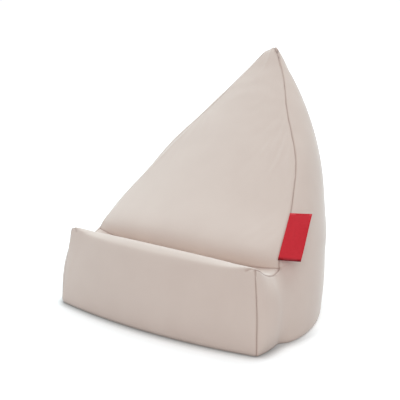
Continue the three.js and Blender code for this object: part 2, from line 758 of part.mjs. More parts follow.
function labelGeometry() {
  const ply = (LABEL - LABEL_FOLD_GAP) / 2;
  const fold = LABEL / 2;
  const straight = LABEL_WIDTH - fold;
  const section = new THREE.Shape();
  section.moveTo(0, 0);
  section.lineTo(0, -ply);
  section.lineTo(straight, -ply);
  section.absarc(straight, -fold, LABEL_FOLD_GAP / 2, Math.PI / 2, -Math.PI / 2, true);
  section.lineTo(0, ply - LABEL);
  section.lineTo(0, -LABEL);
  section.lineTo(straight, -LABEL);
  section.absarc(straight, -fold, fold, -Math.PI / 2, Math.PI / 2, false);
  section.closePath();
  return new THREE.ExtrudeGeometry(section, {
    depth: labelFoot.distanceTo(labelHead), bevelEnabled: false, curveSegments: ROUND_STEPS,
  });
}
const label = addPiece('label_tab', labelGeometry(), labelWeave);
label.quaternion.setFromRotationMatrix(new THREE.Matrix4().makeBasis(labelOut, labelIn, labelUp));
label.position.copy(labelFoot).addScaledVector(labelOut, LABEL_ROOT_GAP)
  .addScaledVector(labelIn, -LABEL_LIFT);

// Origin: on the floor, below the middle of the cushion.
const reach = new THREE.Box3().setFromObject(cushion);
cushion.position.y = -(reach.min.y + reach.max.y) / 2;

export default cushion;
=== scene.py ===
"""Tablet cushion stand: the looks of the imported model. Metres, in the frame of the CAD."""
import json
import math

import bpy
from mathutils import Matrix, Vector
from mathutils.kdtree import KDTree


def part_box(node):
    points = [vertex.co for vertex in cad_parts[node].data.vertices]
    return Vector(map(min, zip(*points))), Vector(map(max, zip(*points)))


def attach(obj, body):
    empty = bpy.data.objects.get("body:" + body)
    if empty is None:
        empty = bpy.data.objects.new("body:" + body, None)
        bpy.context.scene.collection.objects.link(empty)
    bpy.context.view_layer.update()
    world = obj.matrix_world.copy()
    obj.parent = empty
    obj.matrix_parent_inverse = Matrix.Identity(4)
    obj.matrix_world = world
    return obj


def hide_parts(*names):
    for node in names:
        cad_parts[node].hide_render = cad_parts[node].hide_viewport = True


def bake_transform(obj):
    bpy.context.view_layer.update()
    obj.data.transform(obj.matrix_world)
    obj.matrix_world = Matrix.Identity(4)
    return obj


MM = 0.001
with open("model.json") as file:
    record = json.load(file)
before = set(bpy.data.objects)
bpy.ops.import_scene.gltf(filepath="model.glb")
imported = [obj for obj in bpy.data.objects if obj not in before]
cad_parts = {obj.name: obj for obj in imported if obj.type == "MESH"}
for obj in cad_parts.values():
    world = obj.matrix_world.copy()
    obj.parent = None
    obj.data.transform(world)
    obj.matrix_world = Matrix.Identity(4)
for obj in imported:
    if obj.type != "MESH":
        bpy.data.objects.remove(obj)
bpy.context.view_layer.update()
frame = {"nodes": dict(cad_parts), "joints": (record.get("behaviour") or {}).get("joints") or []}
scene = bpy.context.scene
scene.view_settings.view_transform = "Standard"


# Small helpers

def only(piece):
    """Makes one object the only selected one."""
    bpy.ops.object.select_all(action="DESELECT")
    piece.select_set(True)
    bpy.context.view_layer.objects.active = piece


def edit(piece):
    """Opens one object in edit mode with all of it selected."""
    only(piece)
    bpy.ops.object.mode_set(mode="EDIT")
    bpy.ops.mesh.select_all(action="SELECT")


def done():
    bpy.ops.object.mode_set(mode="OBJECT")


def modify(piece, kind, **settings):
    """Adds a modifier with its settings and applies it."""
    only(piece)
    modifier = piece.modifiers.new(kind, kind)
    for name, value in settings.items():
        setattr(modifier, name, value)
    bpy.ops.object.modifier_apply(modifier=modifier.name)


def select_faces(mesh, chosen):
    """Selects, out of edit mode, the faces for which chosen is true."""
    for part in (mesh.vertices, mesh.edges):
        part.foreach_set("select", [False] * len(part))
    mesh.polygons.foreach_set("select", [bool(chosen(face)) for face in mesh.polygons])


def drop_faces(piece, chosen):
    """Deletes the faces for which chosen is true."""
    only(piece)
    bpy.context.tool_settings.mesh_select_mode = (False, False, True)
    select_faces(piece.data, chosen)
    bpy.ops.object.mode_set(mode="EDIT")
    bpy.ops.mesh.delete(type="FACE")
    done()


def copy_of(cad_node, name):
    """A new object with its own merged copy of a CAD node's mesh."""
    piece = bpy.data.objects.new(name, frame["nodes"][cad_node].data.copy())
    bpy.context.collection.objects.link(piece)
    edit(piece)
    bpy.ops.mesh.remove_doubles(threshold=0.01 * MM)
    done()
    return piece


def dress(piece, material):
    """Gives the whole piece one material."""
    piece.data.materials.clear()
    piece.data.materials.append(material)


def belongs(piece, body, slot, *cad_nodes):
    """Puts a finished piece on its body, in place of its CAD nodes."""
    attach(piece, body)
    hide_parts(*cad_nodes)


# Materials

WAVE = math.tau / 20  # a wave texture of this scale has one band a metre


def linear(hex_colour):
    """An sRGB hex colour as linear RGBA."""
    channels = [int(hex_colour[i:i + 2], 16) / 255 for i in (1, 3, 5)]
    return [c / 12.92 if c <= 0.04045 else ((c + 0.055) / 1.055) ** 2.4 for c in channels] + [1.0]


def node(tree, kind, settings=None, **links):
    """Adds a shader node, sets its properties and its inputs by name or number, and returns it."""
    new = tree.nodes.new(kind)
    for name, value in (settings or {}).items():
        setattr(new, name, value)
    for name, value in links.items():
        socket = new.inputs[int(name[1:])] if name[0] == "_" else new.inputs[name.replace("_", " ")]
        if isinstance(value, bpy.types.NodeSocket):
            tree.links.new(value, socket)
        else:
            socket.default_value = value
    return new


def new_material(name):
    material = bpy.data.materials.new(name)
    material.use_nodes = True
    material.node_tree.nodes.clear()
    return material, material.node_tree


def cover_microfibre():
    """Brushed polyester microfibre: a matte, even cloth with a short nap that lights up at grazing angles.
    The weave under the nap has 0.4 mm threads, drawn 1.2 mm apart so that it shows at all."""
    material, tree = new_material("brushed_microfibre")
    place = node(tree, "ShaderNodeTexCoord")
    mottle = node(tree, "ShaderNodeTexNoise", Vector=place.outputs["Object"], Scale=1 / (34 * MM), Detail=3.0)
    nap = node(tree, "ShaderNodeTexNoise", Vector=place.outputs["Object"], Scale=1 / (1.4 * MM), Detail=3.0)
    warp = node(tree, "ShaderNodeTexWave", {"bands_direction": "X"}, Vector=place.outputs["UV"],
                Scale=WAVE / (1.2 * MM), Distortion=1.5, Detail=1.0)
    weft = node(tree, "ShaderNodeTexWave", {"bands_direction": "Y"}, Vector=place.outputs["UV"],
                Scale=WAVE / (1.2 * MM), Distortion=1.5, Detail=1.0)
    threads = node(tree, "ShaderNodeMath", {"operation": "MULTIPLY"},
                   _0=warp.outputs["Fac"], _1=weft.outputs["Fac"])
    pile = node(tree, "ShaderNodeMath", {"operation": "MULTIPLY_ADD"}, _0=threads.outputs[0], _1=0.5,
                _2=nap.outputs["Fac"])
    # Painted shade: the cloth turns darker and pinker (#bda79e) along the seams and in the lip-corner tucks,
    # in place of the shade in their grooves.
    seam_shade_weight = node(tree, "ShaderNodeAttribute", {"attribute_name": "painted_seam_shade"})
    colour = node(tree, "ShaderNodeMix", {"data_type": "RGBA"}, _0=mottle.outputs["Fac"],
                  _6=linear("#d2c1b8"), _7=linear("#d9c9c0"))
    seam = node(tree, "ShaderNodeMix", {"data_type": "RGBA"}, _0=seam_shade_weight.outputs["Fac"],
                _6=colour.outputs[2], _7=linear("#bda79e"))
    bump = node(tree, "ShaderNodeBump", Strength=0.15, Distance=0.25 * MM, Height=pile.outputs[0])
    shader = node(tree, "ShaderNodeBsdfPrincipled", Base_Color=seam.outputs[2], Roughness=0.92,
                  Sheen_Weight=0.55, Sheen_Roughness=0.35, Specular_IOR_Level=0.25,
                  Normal=bump.outputs["Normal"])
    node(tree, "ShaderNodeOutputMaterial", Surface=shader.outputs["BSDF"])
    return material


def woven_cloth(name, pale, deep, pitch, roughness, sheen):
    """Plain weave: two sets of threads, pitch apart, that cross and shade each other."""
    material, tree = new_material(name)
    place = node(tree, "ShaderNodeTexCoord")
    scale = WAVE / pitch
    warp = node(tree, "ShaderNodeTexWave", {"bands_direction": "X"},
                Vector=place.outputs["Object"], Scale=scale)
    weft = node(tree, "ShaderNodeTexWave", {"bands_direction": "Y"},
                Vector=place.outputs["Object"], Scale=scale)
    threads = node(tree, "ShaderNodeMath", {"operation": "MULTIPLY"},
                   _0=warp.outputs["Fac"], _1=weft.outputs["Fac"])
    slub = node(tree, "ShaderNodeTexNoise", Vector=place.outputs["Object"], Scale=1 / (6 * pitch), Detail=4.0)
    both = node(tree, "ShaderNodeMath", {"operation": "MULTIPLY_ADD"}, _0=threads.outputs[0], _1=0.6,
                _2=slub.outputs["Fac"])
    colour = node(tree, "ShaderNodeMix", {"data_type": "RGBA"}, _0=both.outputs[0],
                  _6=linear(deep), _7=linear(pale))
    bump = node(tree, "ShaderNodeBump", Strength=0.35, Distance=0.3 * pitch, Height=threads.outputs[0])
    shader = node(tree, "ShaderNodeBsdfPrincipled", Base_Color=colour.outputs[2], Roughness=roughness,
                  Sheen_Weight=sheen, Normal=bump.outputs["Normal"])
    node(tree, "ShaderNodeOutputMaterial", Surface=shader.outputs["BSDF"])
    return material


def label_satin():
    """Red polyester satin tape: fine ribs across the tape, a soft shine and darker woven edges.
    The ribs are 0.35 mm on the real tape and drawn 0.8 mm apart so that they show."""
    material, tree = new_material("red_satin_tape")
    place = node(tree, "ShaderNodeTexCoord")
    ribs = node(tree, "ShaderNodeTexWave", {"bands_direction": "X"}, Vector=place.outputs["UV"],
                Scale=WAVE / (0.8 * MM), Distortion=0.6, Detail=1.0)
    slub = node(tree, "ShaderNodeTexNoise", Vector=place.outputs["UV"], Scale=1 / (3 * MM), Detail=3.0)
    body = node(tree, "ShaderNodeMix", {"data_type": "RGBA"}, _0=slub.outputs["Fac"],
                _6=linear("#b81a27"), _7=linear("#c8222f"))
    border = node(tree, "ShaderNodeAttribute", {"attribute_name": "woven_edge"})
    colour = node(tree, "ShaderNodeMix", {"data_type": "RGBA"}, _0=border.outputs["Fac"],
                  _6=body.outputs[2], _7=linear("#7a101a"))
    bump = node(tree, "ShaderNodeBump", Strength=0.3, Distance=0.15 * MM, Height=ribs.outputs["Fac"])
    shader = node(tree, "ShaderNodeBsdfPrincipled", Base_Color=colour.outputs[2], Roughness=0.5,
                  Specular_IOR_Level=0.12, Normal=bump.outputs["Normal"])
    node(tree, "ShaderNodeOutputMaterial", Surface=shader.outputs["BSDF"])
    return material


def moulded_nylon():
    """Nylon monofilament of the zip coil: smooth, half matt, off-white to beige with the tape's dye."""
    material, tree = new_material("dyed_nylon")
    place = node(tree, "ShaderNodeTexCoord")
    haze = node(tree, "ShaderNodeTexNoise", Vector=place.outputs["Object"], Scale=1 / (2 * MM), Detail=2.0)
    colour = node(tree, "ShaderNodeMix", {"data_type": "RGBA"}, _0=haze.outputs["Fac"],
                  _6=linear("#bfb0a6"), _7=linear("#d0c2b8"))
    shader = node(tree, "ShaderNodeBsdfPrincipled", Base_Color=colour.outputs[2], Roughness=0.38, IOR=1.53)
    node(tree, "ShaderNodeOutputMaterial", Surface=shader.outputs["BSDF"])
    return material


def cast_zinc():
    """Die-cast zinc, nickel plated and tumbled: grey metal with a fine grain in its gloss."""
    material, tree = new_material("plated_zinc")
    place = node(tree, "ShaderNodeTexCoord")
    grain = node(tree, "ShaderNodeTexNoise", Vector=place.outputs["Object"], Scale=1 / (0.5 * MM), Detail=4.0)
    gloss = node(tree, "ShaderNodeMapRange", Value=grain.outputs["Fac"], To_Min=0.24, To_Max=0.42)
    colour = node(tree, "ShaderNodeMix", {"data_type": "RGBA"}, _0=grain.outputs["Fac"],
                  _6=linear("#a9a9a6"), _7=linear("#c6c6c2"))
    shader = node(tree, "ShaderNodeBsdfPrincipled", Base_Color=colour.outputs[2], Metallic=1.0,
                  Roughness=gloss.outputs[0])
    node(tree, "ShaderNodeOutputMaterial", Surface=shader.outputs["BSDF"])
    return material


def spun_thread():
    """Two-ply polyester sewing thread: a slanting twist, slightly darker than the cover."""
    material, tree = new_material("spun_thread")
    place = node(tree, "ShaderNodeTexCoord")
    twist = node(tree, "ShaderNodeTexWave", {"bands_direction": "DIAGONAL"}, Vector=place.outputs["Object"],
                 Scale=WAVE / (0.7 * MM))
    colour = node(tree, "ShaderNodeMix", {"data_type": "RGBA"}, _0=twist.outputs["Fac"],
                  _6=linear("#9c857c"), _7=linear("#b1998f"))
    bump = node(tree, "ShaderNodeBump", Strength=0.5, Distance=0.1 * MM, Height=twist.outputs["Fac"])
    shader = node(tree, "ShaderNodeBsdfPrincipled", Base_Color=colour.outputs[2], Roughness=0.7,
                  Sheen_Weight=0.2, Normal=bump.outputs["Normal"])
    node(tree, "ShaderNodeOutputMaterial", Surface=shader.outputs["BSDF"])
    return material


def cellular(name, pale, deep, cell, roughness):
    """Expanded foam: rounded cells, cell across, with darker gaps between them."""
    material, tree = new_material(name)
    place = node(tree, "ShaderNodeTexCoord")
    cells = node(tree, "ShaderNodeTexVoronoi", Vector=place.outputs["Object"], Scale=1 / cell)
    colour = node(tree, "ShaderNodeMix", {"data_type": "RGBA"}, _0=cells.outputs["Distance"],
                  _6=linear(pale), _7=linear(deep))
    bump = node(tree, "ShaderNodeBump", {"invert": True}, Strength=0.6, Distance=0.3 * cell,
                Height=cells.outputs["Distance"])
    shader = node(tree, "ShaderNodeBsdfPrincipled", Base_Color=colour.outputs[2], Roughness=roughness,
                  Normal=bump.outputs["Normal"])
    node(tree, "ShaderNodeOutputMaterial", Surface=shader.outputs["BSDF"])
    return material


cover_cloth = cover_microfibre()
base_cloth = woven_cloth("base_twill", "#cbbcb3", "#b5a59b", 1.3 * MM, 0.85, 0.15)
tape_cloth = woven_cloth("zip_tape_twill", "#c3b3a9", "#ab9a90", 0.8 * MM, 0.75, 0.1)
liner_cloth = woven_cloth("spunbond_liner", "#efefec", "#dcdcd8", 1.5 * MM, 0.8, 0.05)
label_cloth = label_satin()
coil_nylon = moulded_nylon()
zinc = cast_zinc()
thread = spun_thread()
bar_foam = cellular("cut_foam", "#e9e6da", "#c9c4b2", 1.6 * MM, 0.9)
bead_foam = cellular("polystyrene_beads", "#f6f6f4", "#d3d3cf", 4 * MM, 0.6)


# Cover: the outer faces of the four upper panels, sewn into one bag and stuffed

PANELS = ("lip_panel", "backrest_panel", "side_panel_right", "side_panel_left")
LIP_HEART = Vector((0, -55, 20)) * MM
BODY_HEART = Vector((0, 60, 60)) * MM
SEAM_REACH = 4.4 * MM
CORNER_REACH = 2.6 * MM
TIP = Vector((0, 110, 248)) * MM
TIP_REACH = 9 * MM
TIP_CAP = 16 * MM


def outer_sheet(panel):
    """The outer face of a cover panel, without its lining face and its rim, in quads."""
    sheet = copy_of(panel, panel + "_sheet")
    mesh = sheet.data
    heart = LIP_HEART if panel == "lip_panel" else BODY_HEART
    outwards = [0.0] * len(mesh.vertices)
    for face in mesh.polygons:
        side = face.area * face.normal.dot((face.center - heart).normalized())
        for vertex in face.vertices:
            outwards[vertex] += side
    drop_faces(sheet, lambda face: any(outwards[v] < 0 for v in face.vertices))
    edit(sheet)
    bpy.ops.mesh.tris_convert_to_quads(face_threshold=math.radians(60), shape_threshold=math.radians(60))
    done()
    dress(sheet, bpy.data.materials.new(panel))
    return sheet


def panels_by_edge(mesh):
    """For each edge, the panel of each face on it."""
    panels = {}
    for face in mesh.polygons:
        for key in face.edge_keys:
            panels.setdefault(key, []).append(face.material_index)
    return panels


def seam_edges(mesh):
    """Edges between two panels."""
    panels = panels_by_edge(mesh)
    return [edge for edge in mesh.edges if len(set(panels.get(edge.key, ()))) > 1]


def open_points(mesh):
    """Points on an open edge of the cloth."""
    return {v for key, panels in panels_by_edge(mesh).items() if len(panels) == 1 for v in key}


def near_tree(mesh, points):
    tree = KDTree(len(points))
    for v in points:
        tree.insert(mesh.vertices[v].co, v)
    tree.balance()
    return tree


def meet_at_seams(mesh):
    """Moves facing edge points of two panels to the place midway between them."""
    panel = {v: face.material_index for face in mesh.polygons for v in face.vertices}
    edge = open_points(mesh)
    facing = {}
    for own in range(len(PANELS)):
        tree = near_tree(mesh, [v for v in edge if panel[v] != own])
        for v in edge:
            if panel[v] == own:
                facing[v] = tree.find(mesh.vertices[v].co)[1:]
    for v, (other, gap) in facing.items():
        if v < other and facing[other][0] == v and gap < SEAM_REACH:
            middle = (mesh.vertices[v].co + mesh.vertices[other].co) / 2
            mesh.vertices[v].co = middle
            mesh.vertices[other].co = middle


def lay_flat(cover):
    """Unwraps each panel along its seams, in metres, so that the weave runs with the cloth."""
    mesh = cover.data
    for edge in seam_edges(mesh):
        edge.use_seam = True
    edit(cover)
    bpy.ops.uv.unwrap(method="CONFORMAL", margin=0.01)
    bpy.ops.uv.average_islands_scale()
    done()
    flat = mesh.uv_layers.active.data
    flat_area = 0.0
    for face in mesh.polygons:
        corners = [flat[i].uv for i in face.loop_indices]
        flat_area += abs(sum(a.cross(b) for a, b in zip(corners, corners[1:] + corners[:1]))) / 2
    grow = math.sqrt(sum(face.area for face in mesh.polygons) / flat_area)
    for corner in flat:
        corner.uv *= grow


def crease_seams(mesh):
    """Keeps the seams sharp under subdivision, except at the rounded tip."""
    crease = mesh.attributes.get("crease_edge") or mesh.attributes.new("crease_edge", "FLOAT", "EDGE")
    for edge in seam_edges(mesh):
        far = max((mesh.vertices[v].co - TIP).length for v in edge.vertices)
        crease.data[edge.index].value = 0.0 if far < TIP_CAP else 1.0


TIP_HALF = 5 * MM
TIP_POINTS = {
    -1: Vector((-2.8, 110, 255)) * MM,
    0: Vector((0, 110.3, 258.5)) * MM,
    1: Vector((2.8, 110, 255)) * MM,
}


def close_tip(cover):
    """Gathers the points at the tip into three: one on each seam and one between them, on the back seam."""
    mesh = cover.data
    bpy.context.tool_settings.mesh_select_mode = (True, False, False)
    for side, place in TIP_POINTS.items():
        only(cover)
        for part in (mesh.polygons, mesh.edges):
            part.foreach_set("select", [False] * len(part))
        chosen = [(v.co - TIP).length < TIP_REACH and round(v.co.x / TIP_HALF) == side for v in mesh.vertices]
        mesh.vertices.foreach_set("select", chosen)
        bpy.ops.object.mode_set(mode="EDIT")
        bpy.ops.mesh.merge(type="CENTER")
        done()
        for vertex in mesh.vertices:
            if vertex.select:
                vertex.co = place


def hump(value, start, peak, end):
    """Rises smoothly from 0 at start to 1 at peak and falls to 0 at end."""
    part = (value - start) / (peak - start) if value < peak else (end - value) / (end - peak)
    part = min(1.0, max(0.0, part))
    return part * part * (3 - 2 * part)


def span(start, peak, end):
    """Where a hump starts, peaks and ends, given in mm."""
    return start * MM, peak * MM, end * MM


FAR = 400
LIP_HALF = 108 * MM
LIP_TOP_FROM = 70 * MM
LIP_BACK = -75 * MM
LIP_EAR = Vector((1.5, 0, 5)) * MM
LIP_EAR_AT = Vector((106, -106, 80)) * MM
LIP_EAR_REACH = 26 * MM
LIP_END_BULGE = 2.5 * MM
LIP_END_X = span(80, 112, FAR)
LIP_END_LEAN = 1.5 * MM
LEAN_HIGH = {1: 80 * MM, -1: 15 * MM}
MIDDLE_POWER = 8
SEAM_CLEAR = 5 * MM
EDGE_REACH = 24 * MM
EDGE_DRAW = 5 * MM
EDGE_DRAW_Z = span(158, 195, 234)
EDGE_KICK = 3 * MM
EDGE_KICK_Z = span(122, 150, 178)
SIDE_SWELL = 2.5 * MM
SIDE_SWELL_X = span(90, 125, FAR)
SWELL_Z = span(0, 45, 105)
CREST_LIFT = 5 * MM
CREST_SPAN = span(-1, 15, 38)
FOOT_SWELL = 6 * MM
FOOT_SWELL_Z = span(60, 74, 114)
WAIST_FILL = 2.5 * MM
WAIST_Y = span(-108, -82, -56)
WAIST_Z = span(10, 50, 100)


def lip_fold(x):
    """How far forward the lip's top fold lies, from the middle to the ends."""
    return (-121.4 + 13.9 * (x / LIP_HALF) ** 2) * MM


def pull_into_shape(mesh):
    """What sewing and stuffing do to the plain form: raised lip corners, fuller lip, sides and waist,
    and backrest edges drawn in below the tip and kicked out above the label. The lip's right end leans in
    over its height, the left one only at its foot."""
    sides = panels_by_edge(mesh)
    back = PANELS.index("backrest_panel")
    edge = near_tree(mesh, {v for e in seam_edges(mesh) if back in sides[e.key] for v in e.vertices})
    panels = {}
    for face in mesh.polygons:
        for v in face.vertices:
            panels.setdefault(v, set()).add(PANELS[face.material_index])
    for vertex in mesh.vertices:
        x, y, z = vertex.co
        side = math.copysign(1, x)
        middle = 1 - min(1.0, abs(x) / LIP_HALF) ** MIDDLE_POWER
        if "lip_panel" in panels[vertex.index] and z > LIP_TOP_FROM:
            vertex.co.z += CREST_LIFT * middle * hump(y - lip_fold(x), *CREST_SPAN)
        elif "backrest_panel" in panels[vertex.index]:
            vertex.co.y -= FOOT_SWELL * middle * hump(z, *FOOT_SWELL_Z)
        ear = max(0.0, 1 - (Vector((abs(x), y, z)) - LIP_EAR_AT).length / LIP_EAR_REACH)
        ear *= ear * (3 - 2 * ear)
        vertex.co += Vector((side * LIP_EAR.x, 0, LIP_EAR.z)) * ear
        swell = hump(z, *SWELL_Z)
        if "lip_panel" not in panels[vertex.index]:
            vertex.co.x += side * WAIST_FILL * (hump(y, *WAIST_Y) * hump(z, *WAIST_Z))
        if y < LIP_BACK:
            lean = LIP_END_LEAN * max(0.0, 1 - z / LEAN_HIGH[side])
            vertex.co.x += side * hump(abs(x), *LIP_END_X) * (LIP_END_BULGE * swell - lean)
        elif "backrest_panel" not in panels[vertex.index]:
            vertex.co.x += side * SIDE_SWELL * swell * hump(abs(x), *SIDE_SWELL_X)
        near = max(0.0, 1 - edge.find(Vector((x, y, z)))[2] / EDGE_REACH)
        if abs(x) > SEAM_CLEAR:
            vertex.co.x -= side * near * EDGE_DRAW * hump(z, *EDGE_DRAW_Z)
            vertex.co.x += side * near * EDGE_KICK * hump(z, *EDGE_KICK_Z)


def sewn_cover():
    """The four panels as one cloth in quads, open only at the base. A face's material number is
    its panel's."""
    sheets = [outer_sheet(panel) for panel in PANELS]
    only(sheets[0])
    for sheet in sheets[1:]:
        sheet.select_set(True)
    bpy.ops.object.join()
    cover = sheets[0]
    meet_at_seams(cover.data)
    edit(cover)
    bpy.context.tool_settings.mesh_select_mode = (True, False, False)
    bpy.ops.mesh.select_all(action="DESELECT")
    bpy.ops.mesh.select_non_manifold(extend=False)
    bpy.ops.mesh.remove_doubles(threshold=CORNER_REACH)
    done()
    close_tip(cover)
    pull_into_shape(cover.data)
    lay_flat(cover)
    crease_seams(cover.data)
    modify(cover, "SUBSURF", levels=2, render_levels=2)
    return cover


GROOVE = {PANELS.index("lip_panel"), PANELS.index("backrest_panel")}


def seam_distance(mesh, groove):
    """How far each point lies from the seam in the groove, or from the nearest other seam."""
    panels = panels_by_edge(mesh)
    tree = near_tree(mesh, {v for edge in seam_edges(mesh) for v in edge.vertices
                            if (set(panels[edge.key]) == GROOVE) == groove})
    return [tree.find(v.co)[2] for v in mesh.vertices]


PRESSURE = 4.0
STUFFING_FRAMES = 20
MOST_SWELL = 6 * MM
HOLD = 0.15
CORNER_HOLD = 0.7
CORNER_HOLD_REACH = 28 * MM
SEAM_SHRINK = 0.008
SHRINK_REACH = 7 * MM
CLOTH_SETTINGS = {
    "quality": 5,
    "mass": 0.1,
    "tension_stiffness": 15,
    "compression_stiffness": 15,
    "shear_stiffness": 5,
    "bending_stiffness": 0.4,
    "use_pressure": True,
    "uniform_pressure_force": PRESSURE,
    "vertex_group_mass": "held",
    "pin_stiffness": 1.0,
    "vertex_group_shrink": "drawn",
    "shrink_min": 0.0,
    "shrink_max": SEAM_SHRINK,
}


def stuff(cover):
    """Fills the bag: a cloth simulation under pressure, with the base held and the seams drawn in."""
    mesh = cover.data
    start = [v.co.copy() for v in mesh.vertices]
    held = cover.vertex_groups.new(name="held")
    drawn = cover.vertex_groups.new(name="drawn")
    base = open_points(mesh)
    for i, distance in enumerate(seam_distance(mesh, False)):
        place = mesh.vertices[i].co
        corner = min((place - TIP).length, (Vector((abs(place.x), place.y, place.z)) - LIP_EAR_AT).length)
        hold = max(HOLD, CORNER_HOLD * (1 - corner / CORNER_HOLD_REACH))
        held.add([i], 1.0 if i in base else hold, "REPLACE")
        drawn.add([i], max(0.0, 1 - distance / SHRINK_REACH), "REPLACE")
    cloth = cover.modifiers.new("stuffing", "CLOTH")
    for name, value in CLOTH_SETTINGS.items():
        setattr(cloth.settings, name, value)
    cloth.settings.effector_weights.gravity = 0
    cloth.collision_settings.use_collision = False
    for step in range(1, STUFFING_FRAMES + 1):
        scene.frame_set(step)
    only(cover)
    bpy.ops.object.modifier_apply(modifier=cloth.name)
    cover.vertex_groups.clear()
    for vertex, place in zip(cover.data.vertices, start):
        move = vertex.co - place
        if move.length > MOST_SWELL:
            vertex.co = place + move.normalized() * MOST_SWELL
    scene.frame_set(1)


FOLD_ROLL = 13 * MM
FOLD_Z = 81 * MM
FOLD_LOW = 60 * MM
FOLD_BACK = -90 * MM
FOLD_X = span(-FAR, 96, 108)
FOLD_TURNS = 3
TIP_TURNS = 6
RIPPLE_TURNS = 5


def smooth_where(cover, weight, turns):
    """Smooths the cloth, at each point by its weight."""
    group = cover.vertex_groups.new(name="smooth")
    for vertex in cover.data.vertices:
        group.add([vertex.index], weight(vertex), "REPLACE")
    modify(cover, "SMOOTH", factor=0.5, iterations=turns, vertex_group=group.name)
    cover.vertex_groups.clear()


def round_lip(cover):
    """Rolls the lip's top fold to a soft round."""
    def near_fold(vertex):
        x, y, z = vertex.co
        if z < FOLD_LOW or y > FOLD_BACK:
            return 0.0
        away = math.hypot(y - lip_fold(x), z - FOLD_Z)
        return max(0.0, 1 - away / FOLD_ROLL) * hump(abs(x), *FOLD_X)

    smooth_where(cover, near_fold, FOLD_TURNS)


SMOOTH_POINTS = (
    (Vector((0, 110, 252)) * MM, 14 * MM),
    (Vector((18, 96, 232)) * MM, 11 * MM),
    (Vector((35, 76, 208)) * MM, 18 * MM),
)


def round_tip(cover):
    """Rounds the tip and the seams just below it."""
    def near_tip(vertex):
        place = Vector((abs(vertex.co.x), vertex.co.y, vertex.co.z))
        return max(max(0.0, 1 - (place - point).length / reach) for point, reach in SMOOTH_POINTS)

    smooth_where(cover, near_tip, TIP_TURNS)


RIPPLE_REACH = 5 * MM


def calm_ripples(cover):
    """Smooths the finest ripples of the simulation, away from the seams and the base."""
    mesh = cover.data
    away = [min(a, b) for a, b in zip(seam_distance(mesh, False), seam_distance(mesh, True))]
    base = open_points(mesh)

    def off_seams(vertex):
        return 0.0 if vertex.index in base else min(1.0, away[vertex.index] / RIPPLE_REACH)

    smooth_where(cover, off_seams, RIPPLE_TURNS)


COVER_FOOT = 1.3 * MM
COVER_DROP = 0.9 * MM
TURN_HIGH = 4.5 * MM
TURN_SHARE = 0.016


def turn_under(mesh):
    """Draws the lowest edge in and down to the base, in a round."""
    for vertex in mesh.vertices:
        low = min(1.0, max(0.0, 1 - (vertex.co.z - COVER_FOOT) / TURN_HIGH))
        share = 1 - TURN_SHARE * (1 - math.sqrt(1 - low * low))
        vertex.co.x *= share
        vertex.co.y *= share
        vertex.co.z -= COVER_DROP * low


SEAM_ROLL = 3.2 * MM
SEAM_SINK = 1.0 * MM
GROOVE_SINK = 0.4 * MM
# how far from a seam the painted seam shade reaches
SEAM_SHADE_REACH = 1.5 * MM


def roll_seams(mesh):
    """Rolls the cloth inwards on both sides of each seam and notes how near the seam each point is, as the
    weight of the painted seam shade.
    """
    tint = mesh.attributes.new("painted_seam_shade", "FLOAT", "POINT")
    normals = [v.normal.copy() for v in mesh.vertices]
    around = seam_distance(mesh, False)
    groove = seam_distance(mesh, True)
    for vertex, normal, seam, inner in zip(mesh.vertices, normals, around, groove):
        # painted shade: the weight of the darker seam colour, strongest on the seam
        tint.data[vertex.index].value = max(0.0, 1 - min(seam, inner * 2) / SEAM_SHADE_REACH)
        for distance, sink in ((seam, SEAM_SINK), (inner, GROOVE_SINK)):
            near = max(0.0, 1 - distance / SEAM_ROLL)
            vertex.co -= normal * sink * (1 - math.sqrt(1 - near * near))


CORNER_TUCK = ((0, 0, 0), (-3.5, -1.5, 0.5), (-7.5, -3, -1.5))
CORNER_TUCK_DEPTH = 1.3
CORNER_TUCK_WIDTH = 2.0
CORNER_FROM_X = 95 * MM
CORNER_FROM_Y = -99 * MM
TUCK_REACH = 25 * MM
TUCKS = (  # points of the crease, depth and half width, in mm
    (((32, 74.5, 206), (26, 73, 204.5), (18, 71, 202)), 0.7, 3.0),
    (((37.5, 64.5, 195.5), (31, 63, 194.5), (23, 60.5, 192)), 0.6, 3.0),
    (((45, 53.5, 185), (40, 52.5, 184), (33, 50, 182)), 0.5, 3.0),
)


def press_tucks(mesh):
    """Presses short creases into the cloth beside the seams, alike on both sides. The ones at the lip's
    corners also get the painted seam shade, in place of the shade in the crease."""
    tint = mesh.attributes["painted_seam_shade"]
    normals = [v.normal.copy() for v in mesh.vertices]
    ends = [mesh.vertices[v].co for edge in seam_edges(mesh) for v in edge.vertices]
    corners = [end for end in ends if end.x > CORNER_FROM_X and end.y < CORNER_FROM_Y]
    corner = max(corners, key=lambda end: end.z) / MM
    hook = [corner + Vector(step) for step in CORNER_TUCK]
    for route, depth, width in ((hook, CORNER_TUCK_DEPTH, CORNER_TUCK_WIDTH),) + TUCKS:
        points = [Vector(point) * MM for point in route]
        for vertex, normal in zip(mesh.vertices, normals):
            place = Vector((abs(vertex.co.x), vertex.co.y, vertex.co.z))
            if (place - points[1]).length > TUCK_REACH:
                continue
            away = min((place - between(place, a, b)).length for a, b in zip(points, points[1:]))
            near = max(0.0, 1 - away / (width * MM))
            vertex.co -= normal * depth * MM * near * near * (3 - 2 * near)
            # painted shade in the lip-corner crease, as along the seams
            if route is hook:
                tint.data[vertex.index].value = max(tint.data[vertex.index].value, near * near)


def between(place, start, end):
    """The point of a straight stretch that lies nearest to a place."""
    along = end - start
    return start + along * min(1.0, max(0.0, (place - start).dot(along) / along.length_squared))


THREAD = 0.35 * MM
SEWN = (
    ("seam_thread_lip_right", "lip_panel", "side_panel_right"),
    ("seam_thread_lip_left", "lip_panel", "side_panel_left"),
    ("seam_thread_edge_right", "backrest_panel", "side_panel_right"),
    ("seam_thread_edge_left", "backrest_panel", "side_panel_left"),
    ("seam_thread_back", "side_panel_right", "side_panel_left"),
)


